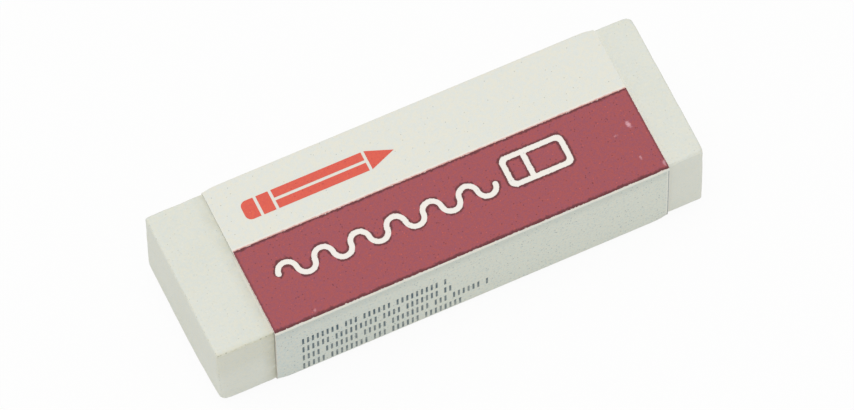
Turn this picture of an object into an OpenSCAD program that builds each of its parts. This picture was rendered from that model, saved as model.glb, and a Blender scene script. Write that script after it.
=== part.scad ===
// Vinyl block eraser in a folded card sleeve.
// Millimetres. X along the length, Y to the back, Z up. The origin is on the
// sleeve's underside, below the middle of the block. z = 0 is the resting surface.

/* [Block] */
// Length of the rubber block
block_l = 65; // [60:1:80]
// Width of the rubber block
block_w = 21; // [18:0.5:28]
// Height of the rubber block
block_h = 12; // [10:0.5:18]
// Rounding of the block's edges
edge_r = 0.25; // [0.25:0.05:1.2]

/* [Card sleeve] */
// Length of the sleeve
sleeve_l = 52.5; // [44:0.5:52.5]
// Length of bare block left of the sleeve
left_show = 7.6; // [1:0.2:7.6]
// Thickness of the card
card_t = 0.3; // [0.2:0.05:0.45]
// Inside radius of the card's folds
fold_in_r = 0.3; // [0.1:0.05:0.4]
// Running clearance between the block and the sleeve, on every side
slide_gap = 0.05; // [0.03:0.01:0.1]
// Width of the glue flap, inside the bottom panel
flap_w = 12; // [6:0.5:14]
// How far the bottom panel's free edge stops short of the front panel
seam_inset = 1; // [0.9:0.1:3]

/* [Print] */
// Thickness of the ink
ink_t = 0.03; // [0.02:0.01:0.06]
// Width of the maroon band, back from the front panel
band_w = 12.3; // [10:0.05:13]
// How far down round the front fold the maroon band reaches
band_wrap = 0.15; // [0.05:0.01:0.3]
// Bare length from the sleeve's left end to the printed motifs
motif_margin = 3.4; // [2:0.1:5]
// Bare length from the motifs to the sleeve's right end
tail_margin = 9.6; // [3:0.1:14]
// Stroke of the motifs left white in the band
stroke_w = 0.7; // [0.4:0.05:0.9]
// Middle-line radius of each bend of the wavy line
wave_r = 1.2; // [0.8:0.05:1.4]
// Height of the wavy line's middle above the front panel
wave_up = 7.2; // [5:0.1:8]
// Width of the small block outline
outline_w = 8.5; // [6:0.1:10]
// Height of the small block outline
outline_h = 4.5; // [3:0.1:5]
// Corner radius of the small block outline
outline_r = 0.9; // [0.6:0.05:1.2]
// Distance of the small outline's divider from its left side
divider_in = 2.8; // [2:0.1:3.5]
// Bare length between the wavy line and the outline
motif_gap = 1.2; // [0.6:0.1:3]
// Length of the red pencil
pencil_l = 20; // [16:0.5:24]
// Thickness of the red pencil
pencil_w = 2.7; // [1.8:0.1:3.2]
// Bare strip between the band and the pencil
pencil_gap = 3.05; // [0.5:0.05:3.2]
// Width of the white lines that part the pencil's pieces
parting_w = 0.4; // [0.2:0.05:0.6]
// Length of the pencil's point
point_l = 3.4; // [2:0.1:4.5]
// Length of the pencil's ferrule
ferrule_l = 1.6; // [1:0.1:2.5]
// Length of the pencil's rubber end
tip_l = 1.8; // [1.2:0.1:3]
// Corner radius of the pencil's rubber end
tip_r = 0.8; // [0.3:0.1:0.8]
// Width of the small printed ticks
tick_w = 0.25; // [0.2:0.05:0.6]
// Height of the small printed ticks
tick_h = 1.3; // [0.6:0.05:1.5]
// Space between two ticks of a group
tick_gap = 0.4; // [0.2:0.05:0.6]
// Space between two groups of ticks
group_gap = 0.9; // [0.6:0.1:1.5]
// Distance from one row of ticks to the next
row_pitch = 2.15; // [1.6:0.05:3]
// Bare height above the top row of ticks
row_top = 4.2; // [2:0.1:4.5]

/* [Hidden] */
$fn = 64;

rubber_white = [0.87, 0.875, 0.835];
card_white = [0.895, 0.895, 0.855];
maroon = [0.655, 0.345, 0.375];
pencil_red = [0.88, 0.41, 0.335];
print_slate = [0.29, 0.38, 0.43];

// Overshoot of a cutting body past the face that it cuts
over = 1;

// Levels: outer bottom panel, glue flap, clearance, block, clearance, top panel
flap_z = card_t;
bore_z0 = 2 * card_t;
block_z = bore_z0 + slide_gap;
bore_z1 = block_z + block_h + slide_gap;
top_z = bore_z1 + card_t;

// The sleeve's bore and its outside, as half widths
bore_y = block_w / 2 + slide_gap;
wall_y = bore_y + card_t;
fold_out_r = fold_in_r + card_t;

sleeve_x = left_show - block_l / 2;
motif_x = sleeve_x + motif_margin;

band_y = -wall_y + band_w;
wave_y = -wall_y + wave_up;
wave_room = sleeve_l - motif_margin - tail_margin - outline_w - motif_gap - stroke_w;
wave_bends = floor(wave_room / (2 * wave_r));
wave_l = wave_bends * 2 * wave_r;
outline_x = motif_x + wave_l + stroke_w + motif_gap;
outline_y = wave_y - wave_r - stroke_w / 2;
pencil_y = band_y + pencil_gap;

// How many ticks the groups have, taken in turn, and where each row stops
group_ticks = [8, 3, 6, 9, 4, 7, 5];
row_ls = [19.5, 20, 25, 21.5];
tick_pitch = tick_w + tick_gap;
group_count = ceil(max(row_ls) / (min(group_ticks) * tick_pitch));
row_z1 = top_z - row_top - tick_h;
row_room = row_z1 - flap_z - fold_out_r;
row_count = min(len(row_ls), floor(row_room / row_pitch) + 1);

// A rectangle from (x0, y0) to (x1, y1) with round corners, of true arcs
module round_rect(x0, y0, x1, y1, r) {
    translate([x0 + r, y0]) square([x1 - x0 - 2 * r, y1 - y0]);
    translate([x0, y0 + r]) square([x1 - x0, y1 - y0 - 2 * r]);
    for (x = [x0 + r, x1 - r], y = [y0 + r, y1 - r])
        translate([x, y]) circle(r);
}

// Turns a drawing of the Y-Z section into a bar along X, from x0
module along_x(x0, l) {
    translate([x0, 0, 0]) rotate([90, 0, 90]) linear_extrude(l) children();
}

// One moulded block: each face's outline, rounded, run through the block
module eraser_block() {
    color(rubber_white) intersection() {
        along_x(-block_l / 2, block_l)
            round_rect(-block_w / 2, block_z, block_w / 2, block_z + block_h, edge_r);
        translate([0, 0, block_z]) linear_extrude(block_h)
            round_rect(-block_l / 2, -block_w / 2, block_l / 2, block_w / 2, edge_r);
        translate([0, block_w / 2, 0]) rotate([90, 0, 0]) linear_extrude(block_w)
            round_rect(-block_l / 2, block_z, block_l / 2, block_z + block_h, edge_r);
    }
}

// A closed ring of card in section, standing on the level z0
module card_ring(z0) {
    difference() {
        round_rect(-wall_y, z0, wall_y, top_z, fold_out_r);
        round_rect(-bore_y, z0 + card_t, bore_y, bore_z1, fold_in_r);
    }
}

// The front half of the ring, and its glue flap, which turns in under the block
module front_part() {
    intersection() {
        card_ring(flap_z);
        union() {
            translate([-wall_y, bore_z0]) square([wall_y, top_z]);
            translate([-wall_y, flap_z]) square([flap_w, card_t]);
        }
    }
}

// The back half of the ring, and the bottom panel, glued under the flap
module back_part() {
    intersection() {
        card_ring(0);
        union() {
            translate([0, card_t]) square([wall_y, top_z]);
            translate([seam_inset - wall_y, 0]) square([2 * wall_y - seam_inset, card_t]);
        }
    }
}

// One folded sheet, closed by the glued lap under the block
module card_sleeve() {
    color(card_white) along_x(sleeve_x, sleeve_l) {
        front_part();
        back_part();
    }
}

// A wavy line of half circles that turn up and down by turns, with round ends
module wavy_line() {
    for (i = [0 : wave_bends - 1])
        translate([wave_r + i * 2 * wave_r, 0]) intersection() {
            difference() {
                circle(wave_r + stroke_w / 2);
                circle(wave_r - stroke_w / 2);
            }
            translate([-2 * wave_r, i % 2 == 0 ? 0 : -2 * wave_r])
                square([4 * wave_r, 2 * wave_r]);
        }
    for (x = [0, wave_l])
        translate([x, 0]) circle(stroke_w / 2);
}

// A small block in outline, with a divider where its sleeve would end
module block_outline() {
    difference() {
        round_rect(0, 0, outline_w, outline_h, outline_r);
        round_rect(stroke_w, stroke_w, outline_w - stroke_w, outline_h - stroke_w,
                   outline_r - stroke_w / 2);
    }
    translate([divider_in, stroke_w / 2]) square([stroke_w, outline_h - stroke_w]);
}

// A field of maroon ink, round the front fold, with the motifs left bare
module band_print() {
    color(maroon) difference() {
        along_x(sleeve_x, sleeve_l) intersection() {
            difference() {
                round_rect(-wall_y - ink_t, 0, wall_y + ink_t, top_z + ink_t,
                           fold_out_r + ink_t);
                round_rect(-wall_y, 0, wall_y, top_z, fold_out_r);
            }
            translate([-wall_y, top_z - band_wrap])
                square([band_w, band_wrap + over]);
        }
        translate([0, 0, top_z - over]) linear_extrude(2 * over) {
            translate([motif_x + stroke_w / 2, wave_y]) wavy_line();
            translate([outline_x, outline_y]) block_outline();
        }
    }
}

// A pencil in four pieces: rubber end, ferrule, barrel in two strips, and point
module pencil() {
    ferrule_x = tip_l + parting_w;
    barrel_x = ferrule_x + ferrule_l + parting_w;
    point_x = pencil_l - point_l;
    barrel_l = point_x - parting_w - barrel_x;
    strip_w = (pencil_w - parting_w) / 2;
    intersection() {
        round_rect(0, 0, 2 * tip_l, pencil_w, tip_r);
        square([tip_l, pencil_w]);
    }
    translate([ferrule_x, 0]) square([ferrule_l, pencil_w]);
    for (y = [0, pencil_w - strip_w])
        translate([barrel_x, y]) square([barrel_l, strip_w]);
    translate([point_x, 0]) polygon([[0, 0], [point_l, pencil_w / 2], [0, pencil_w]]);
}

module emblem_print() {
    color(pencil_red) translate([motif_x, pencil_y, top_z])
        linear_extrude(ink_t) pencil();
}

// The group at place k of a row: how many ticks it has, and where it starts
function ticks_in(row, k) = group_ticks[(2 * row + k) % len(group_ticks)];
function group_x(row, k) =
    k == 0 ? 0 : group_x(row, k - 1) + (ticks_in(row, k - 1) - 1) * tick_pitch
        + tick_w + group_gap;

// Rows of plain ticks on the front panel, in groups, each row as long as row_ls says
module small_print() {
    color(print_slate)
        for (row = [0 : row_count - 1], k = [0 : group_count - 1])
            for (i = [0 : ticks_in(row, k) - 1]) {
                x = group_x(row, k) + i * tick_pitch;
                if (x + tick_w <= row_ls[row])
                    translate([motif_x + x, -wall_y - ink_t, row_z1 - row * row_pitch])
                        cube([tick_w, ink_t, tick_h]);
            }
}

eraser_block();
card_sleeve();
band_print();
emblem_print();
small_print();
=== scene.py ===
"""A vinyl block eraser in a printed card sleeve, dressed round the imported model."""

import math

import bmesh
import bpy
from mathutils import Matrix, Vector, noise


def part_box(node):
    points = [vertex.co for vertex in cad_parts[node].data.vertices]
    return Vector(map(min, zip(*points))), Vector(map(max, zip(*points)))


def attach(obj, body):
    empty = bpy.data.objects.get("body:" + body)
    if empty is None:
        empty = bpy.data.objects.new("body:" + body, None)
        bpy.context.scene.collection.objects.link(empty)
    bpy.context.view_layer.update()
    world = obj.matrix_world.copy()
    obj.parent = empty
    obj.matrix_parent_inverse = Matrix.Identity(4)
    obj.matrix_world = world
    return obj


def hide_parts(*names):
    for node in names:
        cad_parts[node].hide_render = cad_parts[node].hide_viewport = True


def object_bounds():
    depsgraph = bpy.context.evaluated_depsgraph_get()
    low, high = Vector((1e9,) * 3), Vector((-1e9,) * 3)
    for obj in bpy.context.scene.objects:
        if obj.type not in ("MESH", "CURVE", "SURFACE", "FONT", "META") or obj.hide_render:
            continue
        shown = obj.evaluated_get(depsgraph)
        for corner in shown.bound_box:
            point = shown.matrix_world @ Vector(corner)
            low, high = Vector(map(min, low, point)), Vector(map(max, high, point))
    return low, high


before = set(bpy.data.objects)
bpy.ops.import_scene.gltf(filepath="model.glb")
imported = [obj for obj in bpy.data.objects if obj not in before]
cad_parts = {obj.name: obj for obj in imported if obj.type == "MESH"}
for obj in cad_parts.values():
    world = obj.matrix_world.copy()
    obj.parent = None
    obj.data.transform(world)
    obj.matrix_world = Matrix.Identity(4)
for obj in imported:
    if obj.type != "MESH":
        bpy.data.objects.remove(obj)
cad_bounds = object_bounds()


# ---------------------------------------------------------------------------
# Block: a bar of soft white vinyl, moulded and cut to length. Handling has rubbed
# its edges round, worn some corners back and left dirt in the nicks, and the ends
# of the card have pressed a faint groove into it.
# ---------------------------------------------------------------------------

MM = 0.001

block_low, block_high = (Vector(corner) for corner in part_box("eraser_block"))
block_middle = (block_low + block_high) / 2
block_half = (block_high - block_low) / 2
sleeve_low, sleeve_high = (Vector(corner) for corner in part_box("card_sleeve"))
ink_low, ink_high = (Vector(corner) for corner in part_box("band_print"))

# How round the edges and corners are; the front's end edges are rubbed rounder
EDGE_ROUND = 0.28 * MM
FRONT_LEFT_ROUND = 0.5 * MM
FRONT_RIGHT_ROUND = 0.42 * MM
EDGE_VARIES = 0.15 * MM
CORNER_ROUND = 0.38 * MM
CORNER_REACH = 0.9 * MM
# A corner is named by the side of the block's middle that it is on, along X, Y and Z.
RUBBED_CORNERS = {
    (1, -1, 1): 0.65 * MM,
    (1, 1, 1): 0.65 * MM,
    (-1, -1, -1): 0.7 * MM,
    (-1, 1, 1): 0.28 * MM,
}
LARGEST_ROUND = max(RUBBED_CORNERS.values())
# Each worn corner, how far it has been worn back, and how far the wear reaches
WORN_CORNERS = [
    ((-1, -1, -1), (0.27 * MM, 0, 0), 5.3 * MM),
    ((1, -1, 1), (0, 0.25 * MM, 0), 6 * MM),
    ((1, -1, -1), (-0.1 * MM, 0, 0), 8 * MM),
]
# Patches in which the rounding varies, and nicks along the edges
PATCH_SIZES = (2.1 * MM, 0.7 * MM)
NICK_DEPTH = 0.07 * MM
NICK_REACH = 0.3 * MM
NICK_SIZE = 1.1 * MM
# The grooves under the sleeve's left and right ends
GROOVE_DEPTHS = [0.025 * MM, 0.01 * MM]
GROOVE_WIDTH = 0.4 * MM
# How finely the mesh is cut
GROOVE_STEPS = 4
ROUND_STEPS = 13
FACE_STEP = 0.5 * MM
LEAST_STEP = MM / 20
SAME_PLACE = MM / 1000
SHARP_ANGLE = 40
# The card's marks on the block, part dirt and part painted shade and light, and then the vinyl's
# mottling, grain, specks and dirt
DIRT_AND_SHADE_REACH = 1.8 * MM
GAP_SHADOW_WIDTH = 0.12 * MM
PATCHY_SIZE = 1.2 * MM
MOTTLE_SIZE = 0.4 * MM
CLOUD_SIZE = 7 * MM
GRAIN_SIZE = 0.28 * MM
PORE_SIZE = 0.11 * MM
GRAIN_DEPTH = 0.02 * MM
SPECK_SIZE = 0.085 * MM
DIRT_SIZE = 0.45 * MM
GRIME_SIZE = 0.14 * MM
LIGHT_DEPTH = 0.8 * MM


def face_stations(axis):
    """Places across the block, closer together at its edges and its grooves."""
    half = block_half[axis]
    flat = half - LARGEST_ROUND
    count = round(2 * flat / FACE_STEP)
    even = [-flat + 2 * flat * i / count for i in range(count + 1)]
    grooves = []
    if axis == 0:
        grooves = [end - block_middle.x for end in (sleeve_low.x, sleeve_high.x)]
    reach = 2 * GROOVE_WIDTH
    clear = reach + LEAST_STEP
    places = [at for at in even if all(abs(at - groove) > clear for groove in grooves)]
    for groove in grooves:
        steps = range(-GROOVE_STEPS, GROOVE_STEPS + 1)
        places += [groove + reach * k / GROOVE_STEPS for k in steps]
    for k in range(ROUND_STEPS):
        inset = LARGEST_ROUND * (k / ROUND_STEPS) ** 2
        places += [inset - half, half - inset]
    return sorted(places)


def box_shell():
    """A bmesh box of the block's size about the origin, cut along the stations."""
    shell = bmesh.new()
    for axis in range(3):
        across, along = (axis + 1) % 3, (axis + 2) % 3
        rows, columns = face_stations(across), face_stations(along)
        for side in (-1, 1):
            grid = []
            for row in rows:
                line = []
                for column in columns:
                    point = Vector((0, 0, 0))
                    point[axis] = side * block_half[axis]
                    point[across], point[along] = row, column
                    line.append(shell.verts.new(point))
                grid.append(line)
            for i in range(len(rows) - 1):
                for j in range(len(columns) - 1):
                    corners = [grid[i][j], grid[i + 1][j], grid[i + 1][j + 1], grid[i][j + 1]]
                    shell.faces.new(corners if side > 0 else corners[::-1])
    bmesh.ops.remove_doubles(shell, verts=shell.verts, dist=SAME_PLACE)
    return shell


def bell(distance, reach):
    """1 at no distance, and fading smoothly to nothing at about twice the reach."""
    return math.exp(-((distance / reach) ** 2))


def edge_round_at(point):
    """How round the block's edges near a point are; those at the front are rubbed most."""
    if point.x > 0:
        to_front = max(0, -point.y / block_half.y) ** 2
        return EDGE_ROUND + (FRONT_RIGHT_ROUND - EDGE_ROUND) * to_front
    upright = 1 - bell(block_half.z - abs(point.z), CORNER_REACH)
    return EDGE_ROUND + (FRONT_LEFT_ROUND - EDGE_ROUND) * upright * (point.y < 0)


def worn_point(point):
    """A point of the sharp box, moved onto the worn and grooved block; also its wear."""
    inset = sorted(block_half[k] - abs(point[k]) for k in range(3))
    large, small = (noise.noise(point / size) for size in PATCH_SIZES)
    patch = large + 0.5 * small
    nearest_corner = tuple(1 if point[k] > 0 else -1 for k in range(3))
    edge_round = edge_round_at(point)
    corner_round = max(edge_round, RUBBED_CORNERS.get(nearest_corner, CORNER_ROUND))
    radius = edge_round + EDGE_VARIES * max(0, patch)
    radius += (corner_round - edge_round) * bell(inset[2], CORNER_REACH)
    radius = min(radius, LARGEST_ROUND)
    core = Vector([
        max(radius - block_half[k], min(block_half[k] - radius, point[k])) for k in range(3)
    ])
    wear = bell(inset[1], NICK_REACH)
    nick = NICK_DEPTH * wear * max(0, noise.noise(point / NICK_SIZE + Vector((9, 4, 2))))
    place = core + (point - core).normalized() * (radius - nick)
    for sides, worn_by, reach in WORN_CORNERS:
        corner = Vector([side * half for side, half in zip(sides, block_half)])
        place += Vector(worn_by) * bell((point - corner).length, reach)
    pressed = sum(
        depth * bell(place.x + block_middle.x - end, GROOVE_WIDTH)
        for end, depth in zip((sleeve_low.x, sleeve_high.x), GROOVE_DEPTHS)
    )
    place.y *= 1 - pressed / block_half.y
    place.z *= 1 - pressed / block_half.z
    return place, wear


def new_piece(name, shell, body, material, node):
    """Makes the bmesh a smooth object that stands for the node and rides on the body."""
    mesh = bpy.data.meshes.new(name)
    bmesh.ops.recalc_face_normals(shell, faces=shell.faces)
    shell.to_mesh(mesh)
    shell.free()
    mesh.polygons.foreach_set("use_smooth", [True] * len(mesh.polygons))
    mesh.set_sharp_from_angle(angle=math.radians(SHARP_ANGLE))
    mesh.materials.append(material)
    piece = bpy.data.objects.new(name, mesh)
    bpy.context.scene.collection.objects.link(piece)
    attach(piece, body)
    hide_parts(node)


def linear(red, green, blue):
    """A colour as seen on a screen, from 0 to 255, as the light that a shader mixes."""
    def channel(value):
        value /= 255
        return value / 12.92 if value <= 0.04045 else ((value + 0.055) / 1.055) ** 2.4
    return (channel(red), channel(green), channel(blue), 1)


class Wire:
    """A socket in a material. An expression adds its Math nodes; node() adds any other."""

    def __init__(self, tree, socket=None):
        self.tree = tree
        self.socket = socket

    def node(self, kind, settings=None, sockets=None, output=0):
        """Adds a node: its settings first, and then the values or links of its sockets."""
        made = self.tree.nodes.new("ShaderNode" + kind)
        for name, value in (settings or {}).items():
            setattr(made, name, value)
        for name, value in (sockets or {}).items():
            if isinstance(value, Wire):
                self.tree.links.new(value.socket, made.inputs[name])
            else:
                made.inputs[name].default_value = value
        return Wire(self.tree, made.outputs[output] if len(made.outputs) else None)

    def maths(self, operation, *values):
        return self.node("Math", {"operation": operation}, dict(enumerate(values)))

    def __add__(self, other):
        return self.maths("ADD", self, other)

    def __sub__(self, other):
        return self.maths("SUBTRACT", self, other)

    def __rsub__(self, other):
        return self.maths("SUBTRACT", other, self)

    def __mul__(self, other):
        return self.maths("MULTIPLY", self, other)

    def __abs__(self):
        return self.maths("ABSOLUTE", self)

    __radd__ = __add__
    __rmul__ = __mul__

    def axes(self, place):
        """A place's distances along X, Y and Z."""
        return [self.node("SeparateXYZ", {}, {0: place}, output=k) for k in range(3)]

    def least(self, other):
        return self.maths("MINIMUM", self, other)

    def most(self, other):
        return self.maths("MAXIMUM", self, other)

    def length_with(self, other):
        """The length of a line that runs this far one way and the other far across."""
        return self.maths("SQRT", self * self + other * other)

    def ramp(self, low, high):
        """0 below low, 1 above high, and straight between them; low may be the larger."""
        return self.node(
            "MapRange", {"clamp": True},
            {"Value": self, "From Min": low, "From Max": high, "To Min": 0.0, "To Max": 1.0},
        )

    def blend(self, start, end):
        """A colour from start to end, as this value goes from 0 to 1."""
        return self.node("Mix", {"data_type": "RGBA"}, {0: self, 6: start, 7: end}, output=2)

    def grain(self, place, size, detail=2.0, roughness=0.5):
        """Noise round 0.5, with lumps of about this size."""
        sockets = {"Vector": place, "Scale": 1 / size, "Detail": detail, "Roughness": roughness}
        return self.node("TexNoise", {}, sockets)

    def specks(self, place, apart, size):
        """1 in small round specks of up to this radius, strewn in cells this far apart."""
        cells = self.node("TexVoronoi", {}, {"Vector": place, "Scale": 1 / apart})
        return (cells * apart).ramp(size, size * 0.6)


def new_material(name):
    """An empty material, as (material, wire, place on the piece)."""
    material = bpy.data.materials.new(name)
    material.use_nodes = True
    material.node_tree.nodes.clear()
    wire = Wire(material.node_tree)
    return material, wire, wire.node("TexCoord", output=3)


def finish_material(wire, sockets, height, depth):
    """Ends a material in a Principled shader, bumped by a height that is depth deep."""
    bump = wire.node("Bump", {}, {"Height": height, "Strength": 1.0, "Distance": depth})
    surface = wire.node("BsdfPrincipled", {}, {**sockets, "Normal": bump})
    wire.node("OutputMaterial", {}, {"Surface": surface})


VINYL_COOL, VINYL_WARM = linear(219, 223, 215), linear(225, 225, 211)
VINYL_CLOUD = linear(229, 230, 221)
VINYL_DARK, VINYL_LIGHT = linear(203, 205, 190), linear(238, 239, 232)
VINYL_SPECK = linear(146, 150, 140)
VINYL_YELLOWED = linear(206, 202, 170)
VINYL_PALER = linear(235, 238, 228)
DIRT, GRIME = linear(172, 168, 128), linear(124, 124, 98)
# Dirt with painted shade, a painted shadow in the gap, and painted light beside the card's ends
DIRT_AND_SHADE, GAP_SHADOW = linear(156, 152, 114), linear(84, 96, 102)
PAINTED_LIGHT_COLOUR = linear(243, 242, 231)


def sleeve_dirt_and_painted_light(wire, colour, place):
    """Beside the card's ends on the block: a smudge of dirt and painted shade, a painted shadow
    in the gap, and painted light lines.
    """
    x, y, z = wire.axes(place)
    from_left = abs(x - sleeve_low.x)
    facing = y.ramp(block_low.y + 0.4 * MM, block_low.y + 0.1 * MM)
    patchy = wire.grain(place, PATCHY_SIZE, 3.0).ramp(0.2, 0.6)
    # Part dirt and part painted shade: darker beside the card's left end, fading out over its
    # reach.
    dirt_and_shade = from_left.ramp(DIRT_AND_SHADE_REACH, 0.2 * MM) * (facing * 0.12 + 0.19) * patchy
    colour = dirt_and_shade.blend(colour, DIRT_AND_SHADE)
    # A painted shadow in the gap at the card's left end, on the block's front, fading towards the
    # bottom.
    line = from_left.ramp(GAP_SHADOW_WIDTH, GAP_SHADOW_WIDTH * 0.5) * facing
    line = line * (z.ramp(block_low.z, block_high.z) * 0.4)
    colour = line.blend(colour, GAP_SHADOW)
    beside_ink = y.ramp(ink_high.y, ink_high.y - 1.5 * MM)
    # Painted light beside the card's ends, lifting the shade that the card casts there.
    painted_light_left = from_left.ramp(0.36 * MM, 0.16 * MM) * beside_ink * (1 - facing)
    painted_light_right = abs(x - sleeve_high.x).ramp(0.5 * MM, 0.1 * MM) * (1 - facing * 0.4)
    painted_light = painted_light_right.most(painted_light_left) * patchy * 0.5
    return painted_light.blend(colour, PAINTED_LIGHT_COLOUR)


def plain_vinyl(wire, place, grain):
    """The block's own colour: mottled, faintly clouded, finely grained and specked."""
    tint = wire.grain(place, MOTTLE_SIZE, 3.0, 0.6)
    cloud = wire.grain(place, CLOUD_SIZE, 3.0)
    colour = tint.ramp(0.40, 0.60).blend(VINYL_COOL, VINYL_WARM)
    colour = (cloud.ramp(0.35, 0.65) * 0.35).blend(colour, VINYL_CLOUD)
    colour = (grain.ramp(0.42, 0.28) * 0.38).blend(colour, VINYL_DARK)
    colour = (grain.ramp(0.60, 0.75) * 0.42).blend(colour, VINYL_LIGHT)
    return (wire.specks(place, 0.7 * MM, SPECK_SIZE) * 0.32).blend(colour, VINYL_SPECK)


def handled(wire, colour, place):
    """The colour after use: yellowed parts of the front and dirty edges; also paler low on the
    front and on the right end's front.
    """
    worn = wire.node("Attribute", {"attribute_name": "wear"}, output=2)
    x, y, z = wire.axes(place)
    on_front = y.ramp(block_low.y + 0.7 * MM, block_low.y + 0.4 * MM)
    on_left = x.ramp(block_middle.x, sleeve_low.x)
    top_front = on_front * on_left * z.ramp(block_high.z - 0.7 * MM, block_high.z - 0.4 * MM)
    near_front = y.ramp(block_low.y + 0.7 * MM, block_low.y + 0.1 * MM)
    near_top = z.ramp(block_high.z - 0.9 * MM, block_high.z - 0.2 * MM) * 0.07
    upper_left = (z.ramp(block_middle.z, block_middle.z + 2 * MM) * 0.12 + near_top) * on_left
    colour = (near_front * (near_top + upper_left)).blend(colour, VINYL_YELLOWED)
    # Paler towards the bottom of the front, and over all of the right end's front.
    paler_front = on_front * z.ramp(block_middle.z + 1 * MM, block_low.z).most(1 - on_left)
    colour = (paler_front * 0.25).blend(colour, VINYL_PALER)
    dirt = worn.ramp(0.5, 0.95) * wire.grain(place, DIRT_SIZE, 4.0, 0.7).ramp(0.40, 0.62)
    colour = (dirt * (top_front * 0.2 + 0.12)).blend(colour, DIRT)
    grime = worn.ramp(0.7, 1.0) * wire.specks(place, 0.4 * MM, GRIME_SIZE)
    return (grime * (top_front * 0.3 + 0.25)).blend(colour, GRIME)


def vinyl_material():
    """Matt white vinyl that lets a little light in, with the marks of its use, and painted shade
    and light beside the card's ends.
    """
    material, wire, place = new_material("soft_vinyl")
    grain = wire.grain(place, GRAIN_SIZE, 3.0, 0.65)
    colour = plain_vinyl(wire, place, grain)
    colour = sleeve_dirt_and_painted_light(wire, handled(wire, colour, place), place)
    height = grain * 0.6 + wire.grain(place, PORE_SIZE, 1.0) * 0.4
    finish_material(wire, {
        "Base Color": colour,
        "Roughness": 0.62,
        "IOR": 1.47,
        "Specular IOR Level": 0.3,
        "Subsurface Weight": 0.12,
        "Subsurface Radius": (1.0, 0.9, 0.75),
        "Subsurface Scale": LIGHT_DEPTH,
    }, height, GRAIN_DEPTH)
    return material


shell = box_shell()
wear_layer = shell.verts.layers.float.new("wear")
for vert in shell.verts:
    vert.co, vert[wear_layer] = worn_point(vert.co)
    vert.co += block_middle
new_piece("vinyl_block", shell, "block", vinyl_material(), "eraser_block")


# ---------------------------------------------------------------------------
# Sleeve: one sheet of white coated card, scored, folded round the block and
# glued. From its flap under the block it goes up the front, over the top, down
# the back and under, where its free edge stops short of the front.
# ---------------------------------------------------------------------------

# The sheet: its thickness, its folds' radius at mid-thickness, and its glued lap
CARD = 0.3 * MM
FOLD_MIDDLE_R = 0.45 * MM
FLAP_WIDTH = 12 * MM
SEAM_INSET = 1 * MM
GLUE_LINE = 0.008 * MM
# How finely the mesh is cut
FOLD_STEPS = 12
PANEL_STEP = 1 * MM
END_STEPS = [0, 0.05 * MM, 0.2 * MM, 0.4 * MM, 0.65 * MM, 1 * MM, 1.5 * MM]
RIM_STEPS = 3
# Rough cuts, and folds crushed at the cuts
RAGGED = 0.035 * MM
RAGGED_SIZES = (0.6 * MM, 0.22 * MM)
CRUSH_OUTSIDE = 0.2 * MM
CRUSH_INSIDE = 0.06 * MM
CRUSH_REACH = 0.95 * MM
CRUSH_SPREAD = 1.1 * MM
# Painted shade under the fold and a painted shadow line at the front panel's end, ink bled at the
# band's edge, and card fibre
UNDER_FOLD = 2.3 * MM
END_SHADOW_WIDTH = 0.21 * MM
BLEED_REACH = 0.25 * MM
BLEED_WAVERS = 0.3 * MM
FIBRE_SIZE = 0.3 * MM
FIBRE_DEPTH = 0.008 * MM
# A point of the section belongs to the front panel where its outward way is past this
FRONT_TURN = -0.99

front_y, back_y = sleeve_low.y + CARD / 2, sleeve_high.y - CARD / 2
top_level = sleeve_high.z - CARD / 2
flap_level = sleeve_low.z + CARD * 1.5 + GLUE_LINE
bottom_level = sleeve_low.z + CARD / 2


def sheet_path():
    """The card's middle line in section, as (point, outward way, how far into a fold)."""
    corners = [
        Vector((sleeve_low.y + FLAP_WIDTH, flap_level)),
        Vector((front_y, flap_level)),
        Vector((front_y, top_level)),
        Vector((back_y, top_level)),
        Vector((back_y, bottom_level)),
        Vector((sleeve_low.y + SEAM_INSET, bottom_level)),
    ]
    path = []
    for i in range(len(corners) - 1):
        way = (corners[i + 1] - corners[i]).normalized()
        outward = Vector((-way.y, way.x))
        last = i == len(corners) - 2
        start = corners[i] + way * (FOLD_MIDDLE_R if i > 0 else 0)
        end = corners[i + 1] - way * (0 if last else FOLD_MIDDLE_R)
        count = max(1, round((end - start).length / PANEL_STEP))
        for k in range(count + 1):
            path.append((start.lerp(end, k / count), outward, 0.0))
        if last:
            break
        pivot = end - outward * FOLD_MIDDLE_R
        for k in range(1, FOLD_STEPS):
            turn = math.pi / 2 * k / FOLD_STEPS
            out = outward * math.cos(turn) + way * math.sin(turn)
            path.append((pivot + out * FOLD_MIDDLE_R, out, math.sin(2 * turn)))
    return path


def ragged_end(x, y, z, side):
    """x at a cut end of the card, drawn in a little where the cut is rough."""
    coarse, fine = (noise.noise(Vector((x, y, z)) / size) for size in RAGGED_SIZES)
    return x - side * RAGGED * abs(coarse + 0.6 * fine)


def crushed(point, out, depth, x):
    """A point of the section at x, pressed in where it is near a fold and near a cut."""
    gap = min(x - sleeve_low.x, sleeve_high.x - x)
    return point - out * depth * bell(gap, CRUSH_REACH)


def crush_depth(point):
    """How deep the outside is pressed in at a cut; the inked fold has kept its shape."""
    corners = ((front_y, flap_level), (back_y, top_level), (back_y, bottom_level))
    nearest = min((point - Vector(corner)).length for corner in corners)
    return CRUSH_OUTSIDE * bell(nearest, CRUSH_SPREAD)


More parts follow.
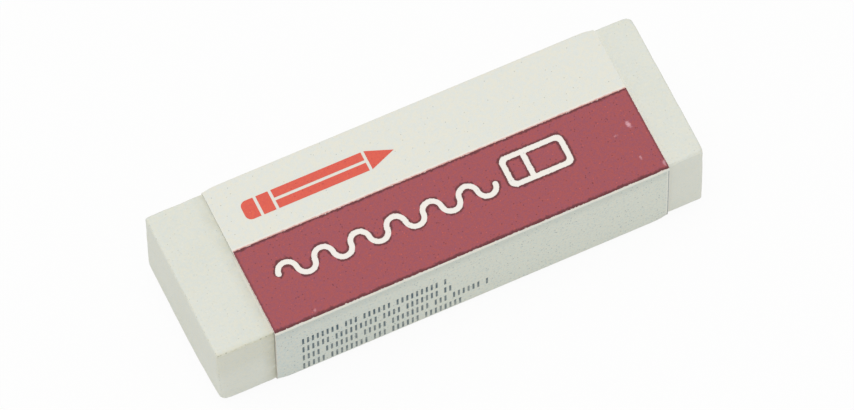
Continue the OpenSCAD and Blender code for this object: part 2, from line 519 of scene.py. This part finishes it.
def card_shell():
    """The folded sheet: its section's loop of points, stepped along the sleeve."""
    outer, inner = [], []
    for point, out, fold in sheet_path():
        facing = 1.0 if out.x < FRONT_TURN else 0.0
        outer.append((point + out * CARD / 2, out, crush_depth(point), fold, 0.0, facing))
        inner.append((point - out * CARD / 2, out, CRUSH_INSIDE * fold, 0.0, 1.0, 0.0))
    loop = outer + inner[::-1]
    low, high = sleeve_low.x + END_STEPS[-1], sleeve_high.x - END_STEPS[-1]
    count = round((high - low) / PANEL_STEP)
    stations = [sleeve_low.x + step for step in END_STEPS]
    stations += [low + (high - low) * i / count for i in range(1, count)]
    stations += [sleeve_high.x - step for step in END_STEPS[::-1]]
    shell = bmesh.new()
    crease, inside, front, cut = (
        shell.verts.layers.float.new(name) for name in ("crease", "inside", "front", "cut"))
    rings = []
    for i, x in enumerate(stations):
        side = -1 if i == 0 else 1 if i == len(stations) - 1 else 0
        ring = []
        for point, out, depth, creased, within, facing in loop:
            at = ragged_end(x, point.x, point.y, side) if side else x
            vert = shell.verts.new((at, *crushed(point, out, depth, x)))
            vert[crease], vert[inside], vert[front] = creased, within, facing
            vert[cut] = abs(side)
            ring.append(vert)
        rings.append(ring)
    size = len(loop)
    for near, far in zip(rings, rings[1:]):
        for k in range(size):
            shell.faces.new([near[k], near[(k + 1) % size], far[(k + 1) % size], far[k]])
    for ring in (rings[0], rings[-1]):
        close_cut(shell, ring, cut)
    return shell


def close_cut(shell, ring, cut):
    """Closes a cut end of the card, in steps through its thickness."""
    half = len(ring) // 2
    steps = []
    for outside, inside in zip(ring[:half], ring[:half - 1:-1]):
        line = [outside]
        for s in range(1, RIM_STEPS):
            vert = shell.verts.new(outside.co.lerp(inside.co, s / RIM_STEPS))
            vert[cut] = 1.0
            line.append(vert)
        steps.append(line + [inside])
    for a, b in zip(steps, steps[1:]):
        for s in range(RIM_STEPS):
            shell.faces.new([a[s], b[s], b[s + 1], a[s + 1]])
    for line in (steps[0], steps[-1]):
        shell.faces.new(line)


CARD_COOL, CARD_WARM = linear(225, 228, 221), linear(231, 229, 215)
CARD_LIGHT, CARD_DARK = linear(240, 240, 234), linear(205, 208, 200)
CARD_SPECK = linear(112, 124, 120)
BESIDE_INK, BLED_INK = linear(249, 243, 236), linear(208, 122, 108)
PANEL_RIGHT, PANEL_LEFT = linear(220, 226, 216), linear(210, 219, 214)
PANEL_WARM, PANEL_FIBRE = linear(229, 225, 207), linear(186, 200, 203)
PANEL_DOT = linear(96, 116, 128)
PANEL_UNDER_FOLD = linear(186, 194, 188)
# A painted highlight, a painted shadow line and a painted highlight on the rim, at the front
# panel's right end
END_HIGHLIGHT, END_SHADOW_GREY = linear(242, 240, 230), linear(112, 126, 132)
END_RIM_HIGHLIGHT = linear(244, 242, 232)
BOARD_DARK, BOARD_LIGHT = linear(206, 202, 188), linear(221, 217, 203)
CRACKED_COAT_HIGHLIGHT = linear(241, 235, 221)
CUT_WHITE, CUT_PINK = linear(250, 249, 242), linear(250, 226, 222)


def front_panel(along, up, tint, fibre):
    """The front panel's colour: cooler and darker at the left, with painted shade under the fold,
    and painted highlights and a painted shadow line at its right end.
    """
    cool = along.ramp(block_middle.x - 3 * MM, sleeve_low.x)
    panel = cool.blend(PANEL_RIGHT, PANEL_LEFT)
    panel = (tint.ramp(0.40, 0.60) * 0.5).blend(panel, PANEL_WARM)
    panel = (fibre.ramp(0.48, 0.30) * 0.6).blend(panel, PANEL_FIBRE)
    below_fold = up.ramp(sleeve_high.z - UNDER_FOLD, sleeve_high.z - 1 * MM)
    panel = (below_fold * 0.35).blend(panel, PANEL_UNDER_FOLD)
    from_end = sleeve_high.x - along
    # At the right end: a painted highlight, then a painted shadow line in the gap, then a painted
    # highlight on the cut rim.
    panel = (from_end.ramp(0.45 * MM, 0.25 * MM) * 0.5).blend(panel, END_HIGHLIGHT)
    panel = (from_end.ramp(END_SHADOW_WIDTH, END_SHADOW_WIDTH * 0.75) * 0.75).blend(panel, END_SHADOW_GREY)
    return (from_end.ramp(0.09 * MM, 0.06 * MM) * 0.8).blend(panel, END_RIM_HIGHLIGHT)


def card_material():
    """White coated card: smooth outside, cracked folds painted whiter as a highlight, fibrous
    cuts, grey inside.
    """
    material, wire, place = new_material("coated_card")
    fold, inside, front, cut = (
        wire.node("Attribute", {"attribute_name": name}, output=2)
        for name in ("crease", "inside", "front", "cut"))
    along, back, up = wire.axes(place)
    fibre = wire.grain(place, FIBRE_SIZE, 3.0, 0.6)
    tint = wire.grain(place, MOTTLE_SIZE, 3.0, 0.6)
    colour = tint.ramp(0.40, 0.60).blend(CARD_COOL, CARD_WARM)
    on_top = back.ramp(block_low.y + 1 * MM, block_low.y + 1.5 * MM)
    on_top = on_top * up.ramp(block_middle.z, block_high.z)
    beside_ink = back.ramp(ink_high.y + 0.42 * MM, ink_high.y + 0.15 * MM)
    colour = (beside_ink * on_top * 0.75).blend(colour, BESIDE_INK)
    from_band = abs(back - ink_high.y + (tint - 0.5) * BLEED_WAVERS)
    bled = from_band.ramp(BLEED_REACH, 0.03 * MM)
    colour = (bled * on_top * 0.85).blend(colour, BLED_INK)
    colour = front.blend(colour, front_panel(along, up, tint, fibre))
    colour = (fibre.ramp(0.60, 0.75) * 0.25).blend(colour, CARD_LIGHT)
    colour = (fibre.ramp(0.40, 0.25) * 0.25).blend(colour, CARD_DARK)
    colour = (wire.specks(place, 0.85 * MM, SPECK_SIZE) * 0.4).blend(colour, CARD_SPECK)
    dots = wire.specks(place, 0.62 * MM, 0.10 * MM) * front
    colour = (dots * 0.6).blend(colour, PANEL_DOT)
    board = fibre.ramp(0.35, 0.65).blend(BOARD_DARK, BOARD_LIGHT)
    colour = inside.blend(colour, board)
    beside_print = back.ramp(0, sleeve_low.y) * 0.7 + 0.3
    # The folds' coating, cracked white in patches and painted whiter still as a highlight along
    # the fold.
    cracks = wire.grain(place, MOTTLE_SIZE, 4.0, 0.7).ramp(0.34, 0.60)
    cracked_highlight = fold.ramp(0.35, 0.85) * cracks * beside_print
    colour = (cracked_highlight * 0.72).blend(colour, CRACKED_COAT_HIGHLIGHT)
    off_front = back.ramp(sleeve_low.y + CARD, sleeve_low.y + 1.5 * CARD) * 0.7 + 0.2
    inked = back.ramp(ink_high.y + 0.1 * MM, ink_high.y - 0.1 * MM)
    bare_cut = inked.blend(CUT_WHITE, CUT_PINK)
    colour = (cut.ramp(0.2, 0.9) * off_front).blend(colour, bare_cut)
    finish_material(wire, {
        "Base Color": colour,
        "Roughness": 0.5,
        "IOR": 1.45,
        "Specular IOR Level": 0.3,
    }, fibre, FIBRE_DEPTH)
    return material


new_piece("card_wrap", card_shell(), "sleeve", card_material(), "card_sleeve")


# ---------------------------------------------------------------------------
# Print: flat inks on the card. A maroon field runs round the front fold, with
# its motifs left bare; a red pencil and rows of slate ticks lie beside it. Ink
# piles up at the field's edges, chips at the cuts, and is rubbed off in spots.
# ---------------------------------------------------------------------------

# How far ink piles up in from each kind of edge, and how the edges waver and chip
INK_EDGE = 0.36 * MM
CUT_EDGE = 0.32 * MM
FOLD_EDGE = 0.42 * MM
EDGE_WAVERS = (0.62 * MM, 0.5 * MM)
CHIP = 0.02 * MM
CHIP_WAVERS = 0.5 * MM
SCUFF_WAVERS = 1.1 * MM
SLOW_SIZE = 1.3 * MM
ROUGH_SIZE = 0.32 * MM
# Mottling, grain and thin patches of the inks
THIN_PATCH = 0.9 * MM
INK_MOTTLE_SIZE = 0.34 * MM
INK_GRAIN_SIZE = 0.15 * MM
INK_DEPTH = 0.006 * MM
# The motifs left bare in the maroon: a wavy line and a small outline with a divider
MOTIF_MARGIN = 3.4 * MM
STROKE = 0.7 * MM
WAVE_R = 1.2 * MM
WAVE_BENDS = 12
WAVE_UP = 7.2 * MM
MOTIF_GAP = 1.2 * MM
OUTLINE_W = 8.5 * MM
OUTLINE_H = 4.5 * MM
OUTLINE_R = 0.9 * MM
DIVIDER_IN = 2.8 * MM
# Each scuff: its place in mm, right of the sleeve's right end and back from its front;
# its size in mm; how much ink is gone; and how far its streak is turned, in degrees
SCUFFS = [
    (-1.9, 7.65, 0.5, 0.68, -80),
    (-3.95, 6.85, 0.24, 0.25, 0),
    (-2.55, 2.9, 0.22, 0.36, -80),
    (-0.25, 0.95, 0.36, 0.45, -90),
    (-46.9, 0.9, 0.24, 0.28, 40),
]
SCUFF_STRETCH = 1.35
INK_PILED, INK_CHIPPED = linear(84, 46, 49), linear(238, 226, 218)
INK_RUBBED, INK_THIN = linear(236, 186, 196), linear(196, 201, 192)

motif_x = sleeve_low.x + MOTIF_MARGIN
wave_y = sleeve_low.y + WAVE_UP
wave_l = 2 * WAVE_BENDS * WAVE_R


def wave_distance(wire, x, y):
    """How far a point is outside the wavy line's stroke, folded onto one upward bend."""
    along = (x - motif_x - STROKE / 2).most(0.0).least(wave_l)
    past = abs(x - motif_x - STROKE / 2 - along)
    turn = wire.maths("FLOOR", along * (0.5 / WAVE_R))
    across = along - turn * (2 * WAVE_R) - WAVE_R
    up = (y - wave_y) * (1 - 2 * wire.maths("MODULO", turn, 2.0))
    on_bend = abs(across.length_with(up) - WAVE_R)
    off_bend = (abs(across) - WAVE_R).length_with(up)
    below = wire.maths("LESS_THAN", up, 0.0)
    return on_bend * (1 - below) + off_bend * below + past - STROKE / 2


def outline_distance(x, y):
    """How far a point is outside the strokes of the small outline and its divider."""
    x = x - (motif_x + wave_l + STROKE + MOTIF_GAP)
    y = y - (wave_y - WAVE_R - STROKE / 2)
    across = abs(x - OUTLINE_W / 2) - (OUTLINE_W / 2 - OUTLINE_R)
    up = abs(y - OUTLINE_H / 2) - (OUTLINE_H / 2 - OUTLINE_R)
    edge = across.most(0.0).length_with(up.most(0.0)) + across.most(up).least(0.0) - OUTLINE_R
    border = abs(edge + STROKE / 2) - STROKE / 2
    divider = abs(x - DIVIDER_IN - STROKE / 2) - STROKE / 2
    return border.least(divider.most(abs(y - OUTLINE_H / 2) - OUTLINE_H / 2))


def band_edges(wire, colour, place, x, y, rough):
    """The maroon's colour, darkened where ink piles up and bare where it has chipped."""
    slow = wire.grain(place, SLOW_SIZE, 2.0)
    ragged = (rough - 0.5) * EDGE_WAVERS[0] + (slow - 0.5) * EDGE_WAVERS[1]
    from_side = (x - ink_low.x).least(ink_high.x - x)
    from_motif = wave_distance(wire, x, y).least(outline_distance(x, y))
    from_print = (ink_high.y - y).least(from_motif)
    from_fold = y - ink_low.y
    rim = (from_print + ragged).ramp(INK_EDGE, INK_EDGE * 0.55) * 0.76
    cut_rim = (from_side + ragged * 0.5).ramp(CUT_EDGE, CUT_EDGE * 0.4) * 0.5
    fold_rim = (from_fold + ragged).ramp(FOLD_EDGE, FOLD_EDGE * 0.5) * 0.76
    colour = rim.most(cut_rim).most(fold_rim).blend(colour, INK_PILED)
    nibble = (rough - 0.47) * CHIP_WAVERS
    bare = (from_print.least(from_fold) + nibble).least(from_side + nibble * 0.8).ramp(CHIP, 0)
    return (bare * 0.85).blend(colour, INK_CHIPPED)


def scuffed(colour, x, y, rough):
    """The maroon's colour, with the ink rubbed off in a few short streaks."""
    for right, back, size, strength, angle in SCUFFS:
        from_x = x - (sleeve_high.x + right * MM)
        from_y = y - (sleeve_low.y + back * MM)
        turned = math.radians(angle)
        along = from_x * math.cos(turned) + from_y * math.sin(turned)
        across = from_y * math.cos(turned) - from_x * math.sin(turned)
        away = (along * (1 / SCUFF_STRETCH)).length_with(across * SCUFF_STRETCH)
        torn = (away + (rough - 0.5) * SCUFF_WAVERS).ramp(size * MM, size * 0.1 * MM)
        colour = (torn * strength).blend(colour, INK_RUBBED)
    return colour


def maroon_detail(wire, colour, place):
    """The maroon field's edges and scuffs."""
    x, y, _ = wire.axes(place)
    rough = wire.grain(place, ROUGH_SIZE, 3.0, 0.7)
    return scuffed(band_edges(wire, colour, place, x, y, rough), x, y, rough)


def slate_detail(wire, colour, place):
    """The slate ink, thin in patches, and thinner in the lower rows."""
    _, _, z = wire.axes(place)
    low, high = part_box("small_print")
    patches = wire.grain(place, THIN_PATCH, 3.0).ramp(0.45, 0.75)
    return (patches * 0.45 + z.ramp(high[2], low[2]) * 0.22).blend(colour, INK_THIN)


def ink_material(name, warm, cool, dark, bright, detail=None):
    """A flat ink: faint warm and cool mottling, a fine grain, and dark and bright specks."""
    material, wire, place = new_material(name)
    mottle = wire.grain(place, INK_MOTTLE_SIZE, 3.0, 0.7)
    colour = mottle.ramp(0.38, 0.62).blend(warm, cool)
    fine = wire.grain(place, INK_GRAIN_SIZE, 2.0, 0.6)
    colour = (fine.ramp(0.55, 0.75) * 0.26).blend(colour, bright)
    colour = (fine.ramp(0.42, 0.25) * 0.28).blend(colour, dark)
    colour = (wire.specks(place, 0.8 * MM, 0.09 * MM) * 0.55).blend(colour, bright)
    colour = (wire.specks(place, 0.62 * MM, 0.1 * MM) * 0.6).blend(colour, dark)
    if detail:
        colour = detail(wire, colour, place)
    finish_material(wire, {
        "Base Color": colour,
        "Roughness": 0.5,
        "IOR": 1.45,
        "Specular IOR Level": 0.25,
    }, mottle, INK_DEPTH)
    return material


inks = {
    "band_print": ink_material(
        "maroon_ink", warm=linear(170, 85, 86), cool=linear(158, 84, 96),
        dark=linear(92, 44, 54), bright=linear(222, 104, 84), detail=maroon_detail),
    "emblem_print": ink_material(
        "red_ink", warm=linear(228, 100, 80), cool=linear(220, 94, 82),
        dark=linear(184, 74, 62), bright=linear(238, 128, 104)),
    "small_print": ink_material(
        "slate_ink", warm=linear(74, 96, 104), cool=linear(66, 88, 102),
        dark=linear(50, 68, 80), bright=linear(104, 126, 132), detail=slate_detail),
}
for node_name, ink in inks.items():
    for ink_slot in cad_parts[node_name].material_slots:
        ink_slot.material = ink


# ---------------------------------------------------------------------------
# Setting: a plain white floor that keeps a soft shadow, an even white sky, a
# wide lamp overhead, and a long lens looking down on the printed face.
# ---------------------------------------------------------------------------

FLOOR_SIZE = 6.0
FLOOR_DROP = 0.02 * MM
FLOOR_GLOW = 0.93
FLOOR_PAINT = linear(236, 236, 234)
WHITE = (1, 1, 1, 1)
SKY_LEVEL = 0.795
LAMP_SIZE = 0.7
LAMP_HEIGHT = 1.1
LAMP_POWER = 2.62
LAMP_SHIFT = (-0.2, 0.08)
VIEW_AZIMUTH = -24.15
VIEW_ELEVATION = 62.25
VIEW_ROLL = -1.11
VIEW_DISTANCE = 1069.94 * MM
LENS = 371.17
SENSOR_WIDTH = 36
NEAREST_SEEN = 0.05
AIM_OFFSET = Vector((0.342, 0.377, -0.015)) * MM


def seen_directly(wire):
    """1 where the camera sees it, also mirrored or through glass; 0 as light on the object."""
    camera_ray, glossy_ray, through_ray = (
        wire.node("LightPath", output=name)
        for name in ("Is Camera Ray", "Is Glossy Ray", "Is Transmission Ray"))
    return camera_ray.most(glossy_ray).most(through_ray)


def floor_material():
    """White where it is seen, with a share of real shadow, and pale to the object's light."""
    material, wire, _ = new_material("white_floor")
    paint = wire.node("BsdfDiffuse", {}, {"Color": FLOOR_PAINT})
    glow = wire.node("Emission", {}, {"Color": WHITE, "Strength": 1.0})
    surface = wire.node("MixShader", {}, {0: seen_directly(wire) * FLOOR_GLOW, 1: paint, 2: glow})
    wire.node("OutputMaterial", {}, {"Surface": surface})
    return material


def white_sky():
    """Even light at one level, and plain white where it is seen."""
    world = bpy.data.worlds.new("white_sky")
    bpy.context.scene.world = world
    world.use_nodes = True
    world.node_tree.nodes.clear()
    wire = Wire(world.node_tree)
    light = wire.node("Background", {}, {"Color": WHITE, "Strength": SKY_LEVEL})
    white = wire.node("Background", {}, {"Color": WHITE, "Strength": 1.0})
    surface = wire.node("MixShader", {}, {0: seen_directly(wire), 1: light, 2: white})
    wire.node("OutputWorld", {}, {"Surface": surface})


floor_shell = bmesh.new()
bmesh.ops.create_grid(floor_shell, x_segments=1, y_segments=1, size=FLOOR_SIZE / 2)
floor_mesh = bpy.data.meshes.new("floor")
floor_shell.to_mesh(floor_mesh)
floor_shell.free()
floor_mesh.materials.append(floor_material())
floor = bpy.data.objects.new("floor", floor_mesh)
floor.location.z = cad_bounds[0][2] - FLOOR_DROP
bpy.context.scene.collection.objects.link(floor)
white_sky()

lamp_data = bpy.data.lights.new("lamp", "AREA")
lamp_data.shape = "DISK"
lamp_data.size = LAMP_SIZE
lamp_data.energy = LAMP_POWER
lamp = bpy.data.objects.new("lamp", lamp_data)
lamp.location = (*LAMP_SHIFT, LAMP_HEIGHT)
lamp.rotation_euler = (-lamp.location).to_track_quat("-Z", "Y").to_euler()
bpy.context.scene.collection.objects.link(lamp)

aim = (Vector(cad_bounds[0]) + Vector(cad_bounds[1])) / 2 + AIM_OFFSET
turn, rise = math.radians(VIEW_AZIMUTH), math.radians(VIEW_ELEVATION)
back = Vector((math.sin(turn) * math.cos(rise), -math.cos(turn) * math.cos(rise), math.sin(rise)))
camera_data = bpy.data.cameras.new("camera")
camera_data.lens = LENS
camera_data.sensor_width = SENSOR_WIDTH
camera_data.clip_start = NEAREST_SEEN
camera = bpy.data.objects.new("camera", camera_data)
level = (-back).to_track_quat("-Z", "Y").to_matrix()
roll = Matrix.Rotation(math.radians(VIEW_ROLL), 3, "Z")
camera.matrix_world = Matrix.Translation(aim + back * VIEW_DISTANCE) @ (level @ roll).to_4x4()
bpy.context.scene.collection.objects.link(camera)
bpy.context.scene.camera = camera
bpy.context.scene.view_settings.view_transform = "Standard"
